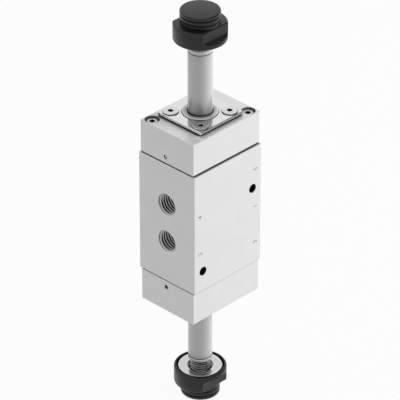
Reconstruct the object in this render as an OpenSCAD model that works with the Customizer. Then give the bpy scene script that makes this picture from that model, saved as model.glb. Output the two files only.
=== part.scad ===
// Bistable 5/2-way spool valve with two pilot solenoid tubes.
// The valve axis is Z. Ports 2 and 4 open on -Y, ports 1, 3 and 5 on +Y, and the mounting holes run along X.
// Both ends carry the same pieces: the bottom end is the top end turned over about X.

/* [Valve body] */
// Thickness of the body along X
body_x = 43; // [42:0.5:60]
// Width of the body along Y, from port face to port face
body_y = 53.6; // [53:0.2:70]
// Distance from the outermost port centre to the end of the body
end_land = 14; // [14:0.5:20]
// Radius of the long edges of body and caps
edge_radius = 0.5; // [0.2:0.1:1]
// Chamfer round the end faces of body and caps
face_chamfer = 0.3; // [0.1:0.1:0.8]

/* [Ports] */
// Step along Z from one port to the next on the opposite face
port_step = 12; // [12:0.1:14]
// Major diameter of the G 1/4 port thread
port_thread_d = 13.16; // [13:0.01:13.4]
// Depth of the port thread
port_depth = 12.5; // [10:0.5:13]
// Diameter of the passage from the thread to the spool bore
passage_d = 9; // [6:0.5:9]
// Chamfer at the mouth of a port
port_chamfer = 0.4; // [0.2:0.1:0.5]

/* [Mounting holes] */
// Diameter of the two holes along X
mount_hole_d = 5.5; // [4.5:0.1:5.8]
// Distance from a port face to the mounting hole's axis
mount_edge = 7; // [6:0.1:7.5]
// How far the upper hole lies below the centre of port 4
upper_mount_drop = 0.4; // [0:0.1:0.8]
// How far the lower hole lies below the centre of port 3
lower_mount_drop = 1.1; // [0.8:0.1:1.5]

/* [Spool and bore] */
// Diameter of the bore that holds the seals and cages
bore_d = 18; // [17.5:0.1:18.5]
// Diameter of the spool's sealing lands
spool_d = 11; // [10:0.1:11.5]
// Diameter of the spool between its lands
neck_d = 7.4; // [7:0.1:8.5]
// Travel of the spool from one switching position to the other
stroke = 4; // [3:0.1:4.4]
// Width of a spool seal
seal_w = 2.4; // [2:0.1:2.6]
// Distance from the outermost port centre to the outer seal's centre
outer_seal_reach = 5.7; // [5.6:0.1:6]
// Width of the ring chamber round the bore at each port
chamber_w = 8; // [6:0.5:8.4]
// Depth of a ring chamber beyond the bore
chamber_depth = 2; // [1:0.1:2.2]
// Diameter of the windows through a cage
window_d = 5.4; // [4:0.1:5.8]
// Number of windows round a cage
window_count = 6; // [4:1:8]

/* [Pistons] */
// Diameter of the piston
piston_d = 15.8; // [15:0.1:16]
// Thickness of the piston
piston_t = 5; // [4.4:0.1:5]
// How far the piston's face stands past the body's end with the spool in the middle
piston_reach = 0.4; // [0.4:0.1:1]
// Diameter of the spool's stub inside the piston
stub_d = 6; // [5.5:0.1:6.6]
// Width of the piston seal's groove
piston_groove_w = 2; // [1.6:0.1:2]
// Depth of the piston seal's groove
piston_groove_depth = 1.4; // [1:0.1:1.6]

/* [End caps] */
// Height of an end cap
cap_h = 20; // [18:0.5:26]
// How far a cap lies inside the body's outline along X
cap_inset_x = 1.15; // [0.2:0.05:1.5]
// How far a cap lies inside the body's outline along Y
cap_inset_y = 0.3; // [0.1:0.05:1]
// Thickness of the gasket under a cap
gasket_t = 0.6; // [0.4:0.1:1]
// How far the gaskets lie inside the outline above them
gasket_inset = 0.4; // [0.2:0.1:0.8]
// Distance from the cap's sides to a cap screw's axis
cap_screw_edge = 4.7; // [4.6:0.1:5]
// Diameter of the recess round a cap screw's head
cap_recess_d = 8.6; // [7.6:0.1:8.6]
// How far the cap screw's head lies below the cap's face
cap_screw_sink = 1; // [0.4:0.1:2]
// Length of a cap screw under its head
cap_screw_l = 22; // [18:0.5:23]

/* [Pilot channels] */
// Diameter of the drilled channels
channel_d = 2; // [1.4:0.1:2]
// Distance from the cap's underside to the cross drillings
cross_height = 4; // [3.6:0.1:4.6]
// How far the cross drillings lie to -X of the centre
cross_offset = 0.8; // [0:0.1:1.2]
// Diameter of the open vent
vent_d = 2.8; // [2:0.1:2.8]
// Diameter of the ball that closes the supply drilling
ball_d = 2.4; // [2.2:0.1:2.6]
// Radius of the pocket round the pilot seat
seat_pocket_r = 6; // [5.8:0.1:6.2]
// Depth of the pocket round the pilot seat
seat_pocket_depth = 4; // [3.5:0.1:4.5]

/* [Flange plate] */
// Side of the square plate that clamps the solenoid tube
plate_w = 33.6; // [33:0.1:34]
// Thickness of the plate
plate_t = 1.6; // [1.6:0.1:3]
// Corner radius of the plate
plate_corner_r = 1; // [0.5:0.1:2]
// Chamfer round both faces of the plate
plate_chamfer = 0.2; // [0.1:0.05:0.3]
// Thickness of the gasket under the plate
plate_gasket_t = 0.8; // [0.3:0.1:0.9]
// Distance from the valve axis to the plate's screws along X and Y
plate_screw_xy = 11.5; // [11.3:0.1:12]
// Diameter of the plate screws' heads
plate_head_d = 9; // [7:0.1:9]
// Height of the plate screws' heads
plate_head_h = 1.5; // [1.2:0.1:2.2]
// How far the heads stand proud of the plate
plate_head_proud = 0.7; // [0.6:0.1:1]
// Length of a plate screw under its head
plate_screw_l = 9; // [7:0.5:10]

/* [Solenoid tube] */
// Outer diameter of the armature tube
tube_d = 14; // [13.6:0.1:14.4]
// Inner diameter of the armature tube
tube_bore = 11.2; // [11:0.1:11.4]
// Length of the tube from the cap's face
tube_l = 40.9; // [36:0.1:60]
// Diameter of the collar at the tube's foot
collar_d = 20.6; // [20:0.1:21]
// Radius round the collar's outer edge
collar_round = 0.7; // [0.3:0.1:0.9]
// Height of the collar above the plate
collar_proud = 0.9; // [0.6:0.1:1.6]
// Diameter of the thin foot that the plate clamps
foot_d = 24.4; // [23:0.1:25]
// Thickness of the foot
foot_t = 1.2; // [1:0.1:1.3]
// Height of the core's head outside the tube
core_head_h = 2.7; // [2:0.1:5]
// Diameter of the threaded stud
stud_d = 10; // [9:0.1:11]
// Length of the threaded stud
stud_l = 13.3; // [12.6:0.1:13.4]

/* [Armature] */
// Lift of the armature from the pilot seat to the core
armature_lift = 1.3; // [0.8:0.1:1.6]
// Length of the armature
armature_l = 21; // [18:0.5:24]
// Wire diameter of the return spring
wire_d = 0.6; // [0.4:0.1:0.7]
// Mean diameter of the return spring
spring_d = 6.8; // [6.6:0.1:7]
// Turns of the return spring
spring_turns = 6; // [4:1:8]
// Depth of the spring's pocket in the armature
spring_pocket = 8; // [6:0.5:9]

/* [Coil nut] */
// Distance from the core's head to the nut's rim
nut_gap = 4.9; // [4.4:0.05:5.4]
// Outer diameter of the nut
nut_d = 30.4; // [29.6:0.1:31]
// Height of the nut without the exhaust cap
nut_h = 10.5; // [10.2:0.05:11.5]
// Radius of the nut's outer edge
nut_edge_r = 0.9; // [0.4:0.1:1.2]
// Width across the nut's two flats
flats_w = 23.3; // [22:0.1:24]
// Height of the full round rim beside the flats
ledge_h = 2.7; // [2.4:0.1:3.2]
// Radius between a flat and its ledge
ledge_r = 3.2; // [1:0.1:3.4]
// Diameter of the steel washer in the nut's face
washer_d = 26.3; // [25:0.1:26.6]
// Thickness of the washer
washer_t = 1; // [0.8:0.1:1.2]
// How deep the washer lies below the nut's rim
washer_sink = 0.8; // [0.6:0.1:1]
// Diameter of the washer's hole, which passes over the core's head
washer_hole = 15; // [14.8:0.1:16]
// Outer diameter of the threaded metal insert in the nut
insert_d = 17; // [16:0.1:18]
// Height of the insert
insert_h = 4.6; // [4:0.1:4.8]
// Diameter of the countersink where the stud enters the insert
insert_mouth_d = 14; // [12:0.1:14.6]
// Diameter of the discs of the exhaust cap
disc_d = 22.7; // [21:0.1:23]
// Height of the exhaust cap above the nut
disc_stack = 7.4; // [6.6:0.1:8]
// Width of the gaps between the discs
disc_gap = 0.6; // [0.4:0.1:0.9]
// Depth of the gaps between the discs
disc_gap_depth = 2.4; // [1:0.1:3]

/* [Hidden] */
$fn = 48;

// Clearances between pieces that move on each other, and between pieces that only rest together
running = 0.05;
seated = 0.02;
// Play of screws, of their heads and of the tube's foot and collar in their holes, across the diameter
screw_play = 0.5;
head_play = 0.3;
foot_play = 0.3;
collar_play = 0.3;
// How far a cutting solid passes the face that it cuts
past = 1;
// How far a blind hole goes on past the tip of its screw
blind_rest = 0.5;

// Heights along the top end, measured from the valve's centre
half_z = 2 * port_step + end_land;
cap_base = half_z + gasket_t;
cap_face = cap_base + cap_h;
plate_base = cap_face + plate_gasket_t;
plate_face = plate_base + plate_t;
tube_end = cap_face + tube_l;
head_end = tube_end + core_head_h;
stud_end = head_end + stud_l;
nut_face = head_end + nut_gap;
nut_end = nut_face + nut_h;
valve_end = nut_end + disc_stack;

// Outline of the caps and places of the screws
cap_x = body_x - 2 * cap_inset_x;
cap_y = body_y - 2 * cap_inset_y;
cap_screw_x = cap_x / 2 - cap_screw_edge;
cap_screw_y = cap_y / 2 - cap_screw_edge;
cap_screw_d = 4;
cap_head_d = 6.8;
cap_head_h = 4;
cap_hex = 3;
plate_screw_d = 5;
plate_hex = 3;
plate_head_chamfer = 0.3;
mount_y = body_y / 2 - mount_edge;
upper_mount_z = port_step - upper_mount_drop;
lower_mount_z = -2 * port_step - lower_mount_drop;

// Spool, seals and pistons
outer_seal_z = 2 * port_step + outer_seal_reach;
seal_heights = [outer_seal_z, 1.5 * port_step, 0.5 * port_step,
    -0.5 * port_step, -1.5 * port_step, -outer_seal_z];
sleeve_base = outer_seal_z + seal_w / 2;
piston_face = half_z + piston_reach;
piston_back = piston_face - piston_t;
piston_land = 0.8;
piston_play = 0.2;
cage_play = 1.4;
stop_gap = 0.1;
chamber_roof = piston_face + stroke / 2 + stop_gap;
sleeve_bore = piston_d + piston_play;
seal_recess = 0.8;
knob_d = stub_d + 0.8;
knob_h = 1.2;
spool_rest = -stroke / 2;

// Pilot channels: the supply rises beside the bore, steps to the cross drilling and feeds the seat
supply_x = -8;
supply_y = -10.4;
supply_chamber_r = norm([supply_x, supply_y]);
riser_y = -15;
slot_depth = 1.2;
cross_z = cap_base + cross_height;
vent_wall = 1.2;
vent_y = bore_d / 2 + vent_wall + channel_d / 2;
vent_groove_w = 1.6;
vent_groove_r = vent_y + 0.3;
vent_groove_z = sleeve_base + 0.3 + vent_groove_w / 2;
outlet_x = 4.6;
outlet_d = 1.6;
seat_floor = cap_face - seat_pocket_depth;
seat_sink = 0.6;
seat_top = cap_face - seat_sink;
seat_shank_r = 2.5;
seat_shank_l = 2.5;
seat_flange_r = 3.6;
seat_flange_h = 1.6;
nozzle_r = 1.3;
nozzle_flare = 0.5;
orifice_d = 1.2;

// Armature and core
armature_r = tube_bore / 2 - 2 * running;
disc_sink = 0.3;
armature_base = seat_top - disc_sink;
armature_top = armature_base + armature_l;
core_face = armature_top + armature_lift + seated;
disc_r = 2.4;
disc_t = 2;
exhaust_disc_r = 1.9;
exhaust_disc_t = 1.6;
exhaust_recess = 0.3;
core_nozzle_h = 0.3;
exhaust_bore_d = 2;
spring_play = 0.25;
spring_post_r = spring_d / 2 - wire_d / 2 - spring_play;
spring_hole_r = spring_d / 2 + wire_d / 2 + spring_play;
ring_land = 0.2;
ring_w = 0.7;
ring_inner_r = spring_hole_r + ring_land;
ring_outer_r = ring_inner_r + ring_w;
ring_t = 1.4;

// Sealing ring under the tube's foot, and the groove between tube and collar
tube_seal_wire = 1.2;
tube_seal_side = 0.3;
tube_seal_land = 1.6;
tube_seal_r = seat_pocket_r + tube_seal_land + tube_seal_side + tube_seal_wire / 2;
collar_groove_w = 0.6;
collar_groove_depth = 0.6;

// Head of the fixed core and the stud's thread
thread_depth = 0.9;
head_round = 1;
joint_h = 0.3;
stud_chamfer = 0.8;
relief_h = 0.8;

// Coil nut and exhaust cap
washer_side = 0.06;
washer_lip = 0.25;
washer_top = washer_sink + washer_t + seated;
nut_bore = stud_d + 0.4;
web_bore = nut_bore + 0.4;
insert_groove_w = 1.4;
insert_groove_depth = 0.8;
rim_chamfer = 0.3;
skirt_d = 15.4;
skirt_h = 3;
skirt_wall = 1.2;
disc_edge_r = 0.8;
window_w = 4;

// Outlines

module rounded_outline(x, y, r) {
    square([x - 2 * r, y], center = true);
    square([x, y - 2 * r], center = true);
    for (sx = [-1, 1], sy = [-1, 1]) translate([sx * (x / 2 - r), sy * (y / 2 - r)]) circle(r);
}

module chamfered_outline(w, h, c) {
    polygon([[-w / 2 + c, 0], [w / 2 - c, 0], [w / 2, c], [w / 2, h - c],
        [w / 2 - c, h], [-w / 2 + c, h], [-w / 2, h - c], [-w / 2, c]]);
}

// A machined block that stands on z = 0, with edges of radius r along Z and a chamfer c round both end faces
module machined_block(x, y, h, r, c) {
    intersection() {
        linear_extrude(h) rounded_outline(x, y, r);
        rotate([90, 0, 0]) linear_extrude(y + past, center = true) chamfered_outline(x, h, c);
        rotate([90, 0, 90]) linear_extrude(x + past, center = true) chamfered_outline(y, h, c);
    }
}

// A ring that stands on z = 0
module ring(outer_r, inner_r, h) {
    difference() {
        cylinder(r = outer_r, h = h);
        translate([0, 0, -past]) cylinder(r = inner_r, h = h + 2 * past);
    }
}

// A ring of round section about the Z axis
module round_ring(mean_r, wire) {
    rotate_extrude() translate([mean_r, 0]) circle(d = wire);
}

// Both places of the cap screws, on one diagonal of the cap
module at_cap_screws(z) {
    for (s = [-1, 1]) translate([s * cap_screw_x, s * cap_screw_y, z]) children();
}

module at_plate_screws(z) {
    for (sx = [-1, 1], sy = [-1, 1])
        translate([sx * plate_screw_xy, sy * plate_screw_xy, z]) children();
}

// The bottom end is the top end turned over about X
module turned_over() {
    rotate([180, 0, 0]) children();
}

module hex_socket(af, depth) {
    translate([0, 0, -depth]) cylinder(d = af / cos(30), h = depth + past, $fn = 6);
}

// Valve body

module port(side, z) {
    rotate([side * 90, 0, 0]) translate([0, side * z, -body_y / 2]) {
        translate([0, 0, -past]) cylinder(d = port_thread_d, h = port_depth + past);
        cylinder(d1 = port_thread_d + 2 * port_chamfer, d2 = port_thread_d, h = port_chamfer);
        cylinder(d = passage_d, h = body_y / 2);
    }
}

// What the top end cuts into the body: tapped screw holes, pilot supply and vent
module body_end_cuts() {
    at_cap_screws(cap_face - cap_screw_sink - cap_head_h - cap_screw_l - blind_rest)
        cylinder(d = cap_screw_d + 2 * seated, h = cap_h + cap_screw_l);
    translate([supply_x, supply_y, 0]) cylinder(d = channel_d, h = half_z + past);
    translate([-cross_offset, vent_y, vent_groove_z]) cylinder(d = channel_d, h = half_z);
    translate([0, 0, vent_groove_z - vent_groove_w / 2]) cylinder(r = vent_groove_r, h = vent_groove_w);
}

module valve_body() {
    color("gainsboro") difference() {
        translate([0, 0, -half_z]) machined_block(body_x, body_y, 2 * half_z, edge_radius, face_chamfer);
        cylinder(d = bore_d, h = 2 * half_z + 2 * past, center = true);
        cylinder(r = supply_chamber_r, h = chamber_w, center = true);
        for (i = [-2, -1, 1, 2]) translate([0, 0, i * port_step])
            cylinder(r = bore_d / 2 + chamber_depth, h = chamber_w, center = true);
        for (i = [-1, 1]) port(-1, i * port_step);
        for (i = [-1, 0, 1]) port(1, 2 * i * port_step);
        for (s = [-1, 1]) translate([0, s * mount_y, s > 0 ? upper_mount_z : lower_mount_z])
            rotate([0, 90, 0]) cylinder(d = mount_hole_d, h = body_x + 2 * past, center = true);
        body_end_cuts();
        turned_over() body_end_cuts();
    }
}

// Spool, its seals and the cages that hold them apart

module spool_half() {
    core_r = neck_d / 2;
    land_r = spool_d / 2;
    bevel = (land_r - core_r) / 2;
    rotate_extrude() polygon([
        [0, 0], [core_r, 0],
        [core_r, port_step / 2 - bevel], [land_r, port_step / 2],
        [land_r, 1.5 * port_step], [core_r, 1.5 * port_step + bevel],
        [core_r, 1.5 * port_step + stroke - bevel], [land_r, 1.5 * port_step + stroke],
        [land_r, piston_back - seated], [stub_d / 2, piston_back - seated],
        [stub_d / 2, piston_face - seal_recess - knob_h],
        [knob_d / 2, piston_face - seal_recess - knob_h / 2],
        [stub_d / 2, piston_face - seal_recess], [0, piston_face - seal_recess]]);
}

module spool() {
    color("lightsteelblue") translate([0, 0, spool_rest]) {
        spool_half();
        turned_over() spool_half();
    }
}

module spool_seals() {
    outer_r = bore_d / 2 - seated;
    lip_r = spool_d / 2 + running;
    lip = seal_w / 3;
    color("dimgray") for (z = seal_heights) translate([0, 0, z]) rotate_extrude() difference() {
        polygon([[lip_r, -lip / 2], [lip_r + lip, -seal_w / 2], [outer_r, -seal_w / 2],
            [outer_r, seal_w / 2], [lip_r + lip, seal_w / 2], [lip_r, lip / 2]]);
        translate([(lip_r + outer_r) / 2, seal_w / 2]) circle(lip / 2);
        translate([(lip_r + outer_r) / 2, -seal_w / 2]) circle(lip / 2);
    }
}

module port_cage(base, top) {
    mid = (base + top) / 2;
    difference() {
        translate([0, 0, base]) ring(bore_d / 2 - seated, (spool_d + cage_play) / 2, top - base);
        for (i = [0 : window_count - 1]) translate([0, 0, mid]) rotate([90, 0, i * 360 / window_count])
            cylinder(d = window_d, h = bore_d);
    }
}

module port_cages() {
    color("tan") for (i = [0 : len(seal_heights) - 2])
        port_cage(seal_heights[i + 1] + seal_w / 2, seal_heights[i] - seal_w / 2);
}

// Pistons, which push the spool

module piston() {
    groove_z = piston_back + piston_land;
    difference() {
        translate([0, 0, piston_back]) cylinder(d = piston_d, h = piston_t);
        translate([0, 0, groove_z])
            ring(piston_d / 2 + past, piston_d / 2 - piston_groove_depth, piston_groove_w);
        rotate_extrude() polygon([
            [0, piston_back - past], [stub_d / 2 + seated, piston_back - past],
            [stub_d / 2 + seated, piston_face - seal_recess - knob_h],
            [knob_d / 2 + seated, piston_face - seal_recess - knob_h / 2],
            [stub_d / 2 + seated, piston_face - seal_recess], [stub_d / 2 + seated, piston_face + past],
            [0, piston_face + past]]);
    }
}

module piston_seal() {
    groove_z = piston_back + piston_land;
    translate([0, 0, groove_z + seated]) ring(sleeve_bore / 2 - running,
        piston_d / 2 - piston_groove_depth + seated, piston_groove_w - 2 * seated);
}

// A bush that clamps the stack of seals and guides the piston, with breather holes behind it
module piston_sleeve() {
    difference() {
        translate([0, 0, sleeve_base])
            ring(bore_d / 2 - seated, sleeve_bore / 2, cap_base - sleeve_base - stop_gap);
        for (i = [0 : window_count - 1]) translate([0, 0, vent_groove_z])
            rotate([90, 0, i * 360 / window_count]) cylinder(d = vent_groove_w, h = bore_d);
    }
}

module top_piston() color("ivory") translate([0, 0, spool_rest]) piston();
module bottom_piston() color("ivory") translate([0, 0, spool_rest]) turned_over() piston();
module top_piston_seal() color("dimgray") translate([0, 0, spool_rest]) piston_seal();
module bottom_piston_seal() color("dimgray") translate([0, 0, spool_rest]) turned_over() piston_seal();
module top_piston_sleeve() color("darkkhaki") piston_sleeve();
module bottom_piston_sleeve() color("darkkhaki") turned_over() piston_sleeve();

// End caps with their gaskets and screws

module supply_slot(z, h) {
    run = [-cross_offset - supply_x, riser_y - supply_y];
    translate([supply_x, supply_y, z]) {
        cylinder(d = channel_d, h = h);
        translate([run[0], run[1], 0]) cylinder(d = channel_d, h = h);
        rotate([0, 0, atan2(run[1], run[0])]) translate([0, -channel_d / 2, 0])
            cube([norm(run), channel_d, h]);
    }
}

module cap_gasket() {
    z = half_z - past;
    h = gasket_t + 2 * past;
    difference() {
        translate([0, 0, half_z]) linear_extrude(gasket_t)
            rounded_outline(cap_x - 2 * gasket_inset, cap_y - 2 * gasket_inset, edge_radius);
        translate([0, 0, z]) cylinder(d = bore_d, h = h);
        supply_slot(z, h);
        translate([-cross_offset, vent_y, z]) cylinder(d = channel_d, h = h);
        at_cap_screws(z) cylinder(d = cap_screw_d + screw_play, h = h);
    }
}

module end_cap() {
    side = cap_y / 2;
    difference() {
        translate([0, 0, cap_base]) machined_block(cap_x, cap_y, cap_h, edge_radius, face_chamfer);
        translate([0, 0, cap_base - past]) cylinder(d = sleeve_bore, h = chamber_roof - cap_base + past);
        supply_slot(cap_base - past, slot_depth + past);
        translate([-cross_offset, riser_y, cap_base]) cylinder(d = channel_d, h = cross_height);
        translate([-cross_offset, -side - past, cross_z]) rotate([-90, 0, 0])
            cylinder(d = channel_d, h = side + past);
        translate([-cross_offset, -side - past, cross_z]) rotate([-90, 0, 0])
            cylinder(d = ball_d + 2 * seated, h = ball_d + past);
        translate([0, 0, cross_z]) cylinder(d = 2 * nozzle_r, h = cap_h);
        translate([-cross_offset, vent_y, cap_base - past]) cylinder(d = channel_d, h = cross_height + past);
        translate([-cross_offset, vent_y, cross_z]) rotate([-90, 0, 0]) cylinder(d = vent_d, h = side);
        translate([0, 0, seat_floor]) cylinder(r = seat_pocket_r, h = cap_h);
        translate([0, 0, seat_floor - seat_shank_l]) cylinder(r = seat_shank_r + seated, h = cap_h);
        translate([outlet_x, 0, cap_base]) cylinder(d = outlet_d, h = cap_h);
        translate([0, 0, cap_face - tube_seal_wire])
            ring(tube_seal_r + tube_seal_wire / 2 + tube_seal_side,
                tube_seal_r - tube_seal_wire / 2 - tube_seal_side, cap_h);
        at_cap_screws(cap_base - past) cylinder(d = cap_screw_d + screw_play, h = cap_h + 2 * past);
        at_cap_screws(cap_face - cap_screw_sink - cap_head_h) cylinder(d = cap_recess_d, h = cap_h);
        at_plate_screws(plate_face - plate_head_h + plate_head_proud - plate_screw_l - blind_rest)
            cylinder(d = plate_screw_d + 2 * seated, h = cap_h);
    }
}

module cap_screws() {
    at_cap_screws(cap_face - cap_screw_sink) difference() {
        union() {
            translate([0, 0, -cap_head_h]) cylinder(d = cap_head_d, h = cap_head_h);
            translate([0, 0, -cap_head_h - cap_screw_l]) cylinder(d = cap_screw_d, h = cap_screw_l + past);
        }
        hex_socket(cap_hex, cap_head_h / 2);
    }
}

module channel_ball() {
    translate([-cross_offset, -cap_y / 2 + ball_d / 2 + seated, cross_z]) sphere(d = ball_d);
}

module top_cap_gasket() color("black") cap_gasket();
module bottom_cap_gasket() color("black") turned_over() cap_gasket();
module top_end_cap() color("gainsboro") end_cap();
module bottom_end_cap() color("gainsboro") turned_over() end_cap();
module top_cap_screws() color("silver") cap_screws();
module bottom_cap_screws() color("silver") turned_over() cap_screws();
module top_channel_ball() color("gray") channel_ball();
module bottom_channel_ball() color("gray") turned_over() channel_ball();

// Pilot seat, which the armature closes

module pilot_seat() {
    flange_top = seat_floor + seat_flange_h;
    difference() {
        union() {
            translate([0, 0, seat_floor - seat_shank_l]) cylinder(r = seat_shank_r, h = seat_shank_l + past);
            translate([0, 0, seat_floor]) cylinder(r = seat_flange_r, h = seat_flange_h);
            translate([0, 0, flange_top])
                cylinder(r1 = nozzle_r + nozzle_flare, r2 = nozzle_r, h = seat_top - flange_top);
        }
        translate([0, 0, seat_floor - cap_h]) cylinder(d = orifice_d, h = 2 * cap_h);
    }
}

module tube_seal() {
    translate([0, 0, cap_face - tube_seal_wire / 2]) round_ring(tube_seal_r, tube_seal_wire);
}

module top_pilot_seat() color("goldenrod") pilot_seat();
module bottom_pilot_seat() color("goldenrod") turned_over() pilot_seat();
module top_tube_seal() color("black") tube_seal();
module bottom_tube_seal() color("black") turned_over() tube_seal();

// Flange plate with its gasket and screws

module flange_gasket() {
    difference() {
        translate([0, 0, cap_face]) linear_extrude(plate_gasket_t)
            rounded_outline(plate_w - 2 * gasket_inset, plate_w - 2 * gasket_inset, plate_corner_r);
        translate([0, 0, cap_face - past]) cylinder(d = foot_d + foot_play, h = cap_h);
        at_plate_screws(cap_face - past) cylinder(d = plate_screw_d + screw_play, h = cap_h);
    }
}

module flange_plate() {
    difference() {
        translate([0, 0, plate_base])
            machined_block(plate_w, plate_w, plate_t, plate_corner_r, plate_chamfer);
        translate([0, 0, plate_base - past]) {
            cylinder(d = collar_d + collar_play, h = plate_t + 2 * past);
            cylinder(d = foot_d + foot_play, h = foot_t - plate_gasket_t + past);
        }
        at_plate_screws(plate_base - past)
            cylinder(d = plate_screw_d + screw_play, h = plate_t + 2 * past);
        at_plate_screws(plate_face - plate_head_h + plate_head_proud)
            cylinder(d = plate_head_d + head_play, h = plate_head_h);
    }
}

module flange_screws() {
    at_plate_screws(plate_face + plate_head_proud) difference() {
        union() {
            translate([0, 0, -plate_head_h])
                cylinder(d = plate_head_d, h = plate_head_h - plate_head_chamfer);
            translate([0, 0, -plate_head_chamfer]) cylinder(d1 = plate_head_d,
                d2 = plate_head_d - 2 * plate_head_chamfer, h = plate_head_chamfer);
            translate([0, 0, -plate_head_h - plate_screw_l])
                cylinder(d = plate_screw_d, h = plate_screw_l);
        }
        hex_socket(plate_hex, plate_head_h);
    }
}

module top_flange_gasket() color("black") flange_gasket();
module bottom_flange_gasket() color("black") turned_over() flange_gasket();
module top_flange_plate() color("lightgray") flange_plate();
module bottom_flange_plate() color("lightgray") turned_over() flange_plate();
module top_flange_screws() color("silver") flange_screws();
module bottom_flange_screws() color("silver") turned_over() flange_screws();

// Solenoid tube and the fixed core that closes it

module armature_tube() {
    foot_top = cap_face + foot_t;
    collar_top = plate_face + collar_proud;
    difference() {
        union() {
            translate([0, 0, cap_face]) cylinder(d = foot_d, h = foot_t);
            translate([0, 0, foot_top]) cylinder(d = collar_d, h = collar_top - collar_round - foot_top);
            rotate_extrude() {
                translate([0, collar_top - collar_round]) square([collar_d / 2 - collar_round, collar_round]);
                translate([collar_d / 2 - collar_round, collar_top - collar_round]) circle(collar_round);
            }
            translate([0, 0, cap_face]) cylinder(d = tube_d, h = tube_l);
        }
        translate([0, 0, cap_face - past]) cylinder(d = tube_bore, h = tube_l + 2 * past);
        translate([0, 0, collar_top - collar_groove_depth])
            ring(tube_d / 2 + collar_groove_w, tube_d / 2, collar_groove_depth + past);
    }
}

module fixed_core() {
    head_r = tube_d / 2;
    difference() {
        union() {
            translate([0, 0, core_face]) cylinder(d = tube_bore - 2 * seated, h = tube_end - core_face);
            translate([0, 0, core_face - core_nozzle_h]) cylinder(r = nozzle_r, h = tube_end - core_face);
            translate([0, 0, tube_end]) cylinder(r = head_r - joint_h, h = core_head_h);
            translate([0, 0, tube_end + joint_h])
                cylinder(r = head_r, h = core_head_h - joint_h - head_round);
            rotate_extrude() {
                translate([0, head_end - head_round]) square([head_r - head_round, head_round]);
                translate([head_r - head_round, head_end - head_round]) circle(head_round);
            }
            translate([0, 0, head_end]) cylinder(d = stud_d - 2 * thread_depth, h = stud_l);
            translate([0, 0, head_end + relief_h]) cylinder(d = stud_d, h = stud_l - relief_h - stud_chamfer);
            translate([0, 0, stud_end - stud_chamfer])
                cylinder(d1 = stud_d, d2 = stud_d - 2 * stud_chamfer, h = stud_chamfer);
        }
        translate([0, 0, core_face - past]) cylinder(d = exhaust_bore_d, h = stud_end);
        translate([0, 0, core_face - past])
            ring(ring_outer_r + seated, ring_inner_r - seated, ring_t + past);
    }
}

module shading_ring() {
    translate([0, 0, core_face + seated]) ring(ring_outer_r, ring_inner_r, ring_t - seated);
}

module top_armature_tube() color("darkgray") armature_tube();
module bottom_armature_tube() color("darkgray") turned_over() armature_tube();
module top_fixed_core() color("darkgray") fixed_core();
module bottom_fixed_core() color("darkgray") turned_over() fixed_core();
module top_shading_ring() color("chocolate") shading_ring();
module bottom_shading_ring() color("chocolate") turned_over() shading_ring();

// Armature with its sealing discs and return spring

module armature() {
    slot_w = 1.2;
    slot_depth_in = 0.8;
    slot_count = 4;
    disc_top = seat_top + seated + disc_t;
    post_top = armature_top - exhaust_recess;
    difference() {
        translate([0, 0, armature_base]) cylinder(r = armature_r, h = armature_l);
        translate([0, 0, armature_base - past])
            cylinder(r = disc_r + seated, h = disc_top - armature_base + past);
        translate([0, 0, armature_top - spring_pocket])
            ring(spring_hole_r, spring_post_r, spring_pocket + past);
        translate([0, 0, post_top - exhaust_disc_t])
            cylinder(r = exhaust_disc_r + seated, h = armature_l);
        for (i = [0 : slot_count - 1]) rotate([0, 0, i * 360 / slot_count])
            translate([armature_r - slot_depth_in, -slot_w / 2, armature_base - past])
                cube([armature_r, slot_w, armature_l + 2 * past]);
    }
}

module armature_discs() {
    translate([0, 0, seat_top + seated]) cylinder(r = disc_r, h = disc_t);
    translate([0, 0, armature_top - exhaust_recess - exhaust_disc_t])
        cylinder(r = exhaust_disc_r, h = exhaust_disc_t);
}

// A helical wire between two heights, swept as rings of points round the coil
module helical_spring(mean_r, wire, base, top, turns) {
    sides = 6;
    steps = turns * 16;
    low = base + wire / 2 + seated;
    rise = top - base - wire - 2 * seated;
    points = [for (i = [0 : steps], j = [0 : sides - 1])
        let (turn = i * 360 * turns / steps, round = j * 360 / sides, r = mean_r + cos(round) * wire / 2)
        [r * cos(turn), r * sin(turn), low + rise * i / steps + sin(round) * wire / 2]];
    walls = [for (i = [0 : steps - 1], j = [0 : sides - 1])
        [i * sides + j, (i + 1) * sides + j, (i + 1) * sides + (j + 1) % sides, i * sides + (j + 1) % sides]];
    ends = [[for (j = [0 : sides - 1]) j], [for (j = [sides - 1 : -1 : 0]) steps * sides + j]];
    polyhedron(points, concat(walls, ends), convexity = 4);
}

module armature_spring() {
    helical_spring(spring_d / 2, wire_d, armature_top - spring_pocket, core_face, spring_turns);
}

module top_armature() color("slategray") armature();
module bottom_armature() color("slategray") turned_over() armature();
module top_armature_discs() color("maroon") armature_discs();
module bottom_armature_discs() color("maroon") turned_over() armature_discs();
module top_armature_spring() color("silver") armature_spring();
module bottom_armature_spring() color("silver") turned_over() armature_spring();

// Coil nut: plastic over a threaded metal insert, with a steel washer held in its face and a stack of discs
// that lets the exhaust air out

module nut_washer() {
    translate([0, 0, nut_face + washer_sink]) ring(washer_d / 2, washer_hole / 2, washer_t);
}

// Half section of the insert's outside, with the groove that keys it in the plastic
module insert_outline(grow) {
    r = insert_d / 2 + grow;
    difference() {
        translate([0, washer_top]) square([r, insert_h + grow]);
        translate([r - insert_groove_depth, washer_top + (insert_h - insert_groove_w) / 2 + grow])
            square([insert_groove_depth + past, insert_groove_w - 2 * grow]);
    }
}

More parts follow.
